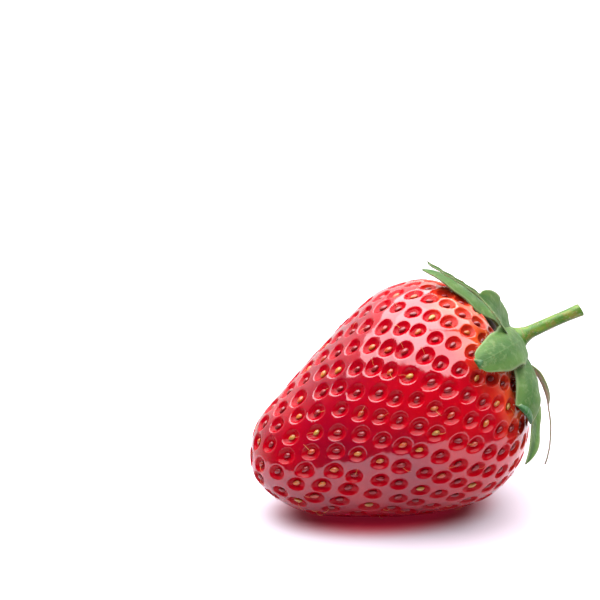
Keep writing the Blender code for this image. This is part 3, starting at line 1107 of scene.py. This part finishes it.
studio = {
    "camera": {
        "azimuth": -14,
        "elevation": 20,
        "lens": 150,
        "sensor": 36,
        "distance": 0.3895,
        "aim": (-13.37, 15.07, -6.69),  # right, up and towards the camera from the berry's middle, in mm
    },
    "lights": {
        "softbox": {"height": 0.50, "radius": 0.64, "power": 23, "right": 0.02, "back": 0.03},
        "sideBox": {"height": 0.42, "radius": 0.20, "power": 1.1, "right": -0.10, "back": -0.02},
    },
    "lampColour": (1.0, 0.96, 1.0),
    "floor": {
        "near": 0.055,
        "far": 1.6,
        "level": -0.02 * mm,
        "tone": (0.465, 0.43, 0.47),
        "stain": (0.48, 0.020, 0.040),  # painted red shadow round the berry's foot, for the shade and the red light that the berry throws there
        "glow": (0.12, 0.004, 0.013),  # painted light: a faint red glow of the floor's own in the same patch, for the light let through the berry
        "foot": (-0.0030, 0.0, 0.0208, 0.014),  # middle, half length and half width of that patch
        "paintedRedShadowEdge": (0.45, 0.95),  # where the painted red shadow starts and ends to fade, in shares of that patch
        "paintedGlowEdge": (0.45, 0.8),
    },
    "world": {"back": 1.3, "front": 0.018, "turn": (-0.35, 0.75)},
}


def cameraAxes():
    azimuth = math.radians(studio["camera"]["azimuth"])
    elevation = math.radians(studio["camera"]["elevation"])
    right = Vector((math.cos(azimuth), math.sin(azimuth), 0))
    level = math.cos(elevation)
    back = Vector((math.sin(azimuth) * level, -math.cos(azimuth) * level, math.sin(elevation)))
    return right, back, back.cross(right)


def addCamera():
    look = studio["camera"]
    right, back, up = cameraAxes()
    low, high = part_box("fruit")
    aside, above, towards = (part * mm for part in look["aim"])
    aim = (low + high) / 2 + right * aside + up * above + back * towards
    camera = bpy.data.objects.new("camera", bpy.data.cameras.new("camera"))
    camera.data.lens = look["lens"]
    camera.data.sensor_width = look["sensor"]
    turn = Matrix((right, up, back)).transposed().to_4x4()
    camera.matrix_world = Matrix.Translation(aim + back * look["distance"]) @ turn
    bpy.context.scene.collection.objects.link(camera)
    bpy.context.scene.camera = camera


def floorFinish():
    made, tree, shader = newFinish("paleFloor", {"Roughness": 0.9, "IOR": 1.2, "Emission Strength": 1.0})
    look = studio["floor"]
    where = pieceCoordinates(tree)
    x, y = (addNode(tree, "ShaderNodeSeparateXYZ", {}, [where], axis) for axis in (0, 1))
    middleX, middleY, halfX, halfY = look["foot"]
    # reach is measured in shares of the patch round the berry's foot, where a red shadow and a faint red
    # glow are painted on the floor
    reach = (((x - middleX) / halfX) ** 2 + ((y - middleY) / halfY) ** 2).math("SQRT")
    paper = mixColour(tree, noise(tree, where, 60, 2), look["tone"], [tone * 1.02 for tone in look["tone"]])
    feed(
        tree,
        shader,
        baseColor=mixColour(tree, fade(tree, reach, *look["paintedRedShadowEdge"]), look["stain"], paper),
        # painted light: the patch round the berry's foot gives off a faint red glow
        emissionColor=mixColour(tree, fade(tree, reach, *look["paintedGlowEdge"]), look["glow"], (0, 0, 0)),
    )
    return made


def addFloor(finish):
    angle = np.linspace(0, 2 * math.pi, 96, endpoint=False)
    near, far = studio["floor"]["near"], studio["floor"]["far"]
    circle = np.stack([np.cos(angle), np.sin(angle), 0 * angle], axis=-1)
    for name, radii in (("nearFloor", (0.0001, near)), ("farFloor", (near, far))):
        rings = [radius * circle + (0, 0, studio["floor"]["level"]) for radius in radii]
        mesh = gridMesh(name, np.array(rings), closed=True)
        mesh.materials.append(finish)
        piece = addPiece(name, mesh)
        piece.visible_glossy = name == "nearFloor"  # only the paper close by shows in the berry's shine


def addLights():
    # round boxes overhead, facing the berry
    right, back, _ = cameraAxes()
    away = Vector((-back.x, -back.y, 0)).normalized()
    for name, box in studio["lights"].items():
        lamp = bpy.data.lights.new(name, "AREA")
        lamp.shape = "DISK"
        lamp.size = box["radius"] * 2
        lamp.energy = box["power"]
        lamp.color = studio["lampColour"]
        light = bpy.data.objects.new(name, lamp)
        place = right * box["right"] + away * box["back"] + Vector((0, 0, box["height"]))
        aim = Vector((0, 0, 1)) if name == "softbox" else place
        light.matrix_world = Matrix.Translation(place) @ aim.to_track_quat("Z", "Y").to_matrix().to_4x4()
        bpy.context.scene.collection.objects.link(light)


def addWorld():
    # a white sweep behind the berry and an unlit room in front of it
    world = bpy.data.worlds.new("studioWorld")
    bpy.context.scene.world = world
    world.use_nodes = True
    tree = world.node_tree
    _, back, _ = cameraAxes()
    away = Vector((-back.x, -back.y, 0)).normalized()
    direction = addNode(tree, "ShaderNodeTexCoord", output=0)
    facing = vectorMath(tree, "DOT_PRODUCT", direction, away, output=1)
    look = studio["world"]
    strength = fade(tree, facing, *look["turn"], look["front"], look["back"])
    tree.links.new(strength.socket, tree.nodes["Background"].inputs["Strength"])
    tree.nodes["Background"].inputs["Color"].default_value = (1, 1, 1, 1)


fruitCells = 128
bpy.context.scene.view_settings.view_transform = "Standard"

places = seedPlaces()
skin = makeSkin(places)
print("skin:", len(skin.data.polygons), "faces")
seeds = makeSeeds(places)
threads = makeThreads(places)
bpy.data.objects.remove(places)
print("seeds:", len(seeds.data.polygons), "faces, threads:", len(threads.data.polygons))

for piece in (skin, seeds, threads):
    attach(piece, "root")
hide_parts("fruit")

leaves = {name: dict(zip(leafWords, row)) for name, row in leafRows.items()}
under, upper = underFinish("leafUnderside", "under"), upperFinish()
withered = underFinish("witheredBract", "withered")
for name, leaf in leaves.items():
    faces = (withered, withered) if name == "bract_3" else (under, upper)
    piece = makeLeaf(name, leaf, *faces)
    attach(piece, "root")
    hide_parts(name)
print("calyx:", len(leaves), "leaves")

stalk, stemRings = makeStem()
collar = makeCollar()
down = makeDown(stemRings, leaves)
for piece, node, slot in ((stalk, "stem", "stem_green"), (collar, "calyx_collar", "collar_green")):
    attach(piece, "root")
    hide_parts(node)
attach(down, "root")
print("stem, collar and", len(down.data.polygons) // 5, "hairs")

addFloor(floorFinish())
addCamera()
addLights()
addWorld()
print("studio ready")
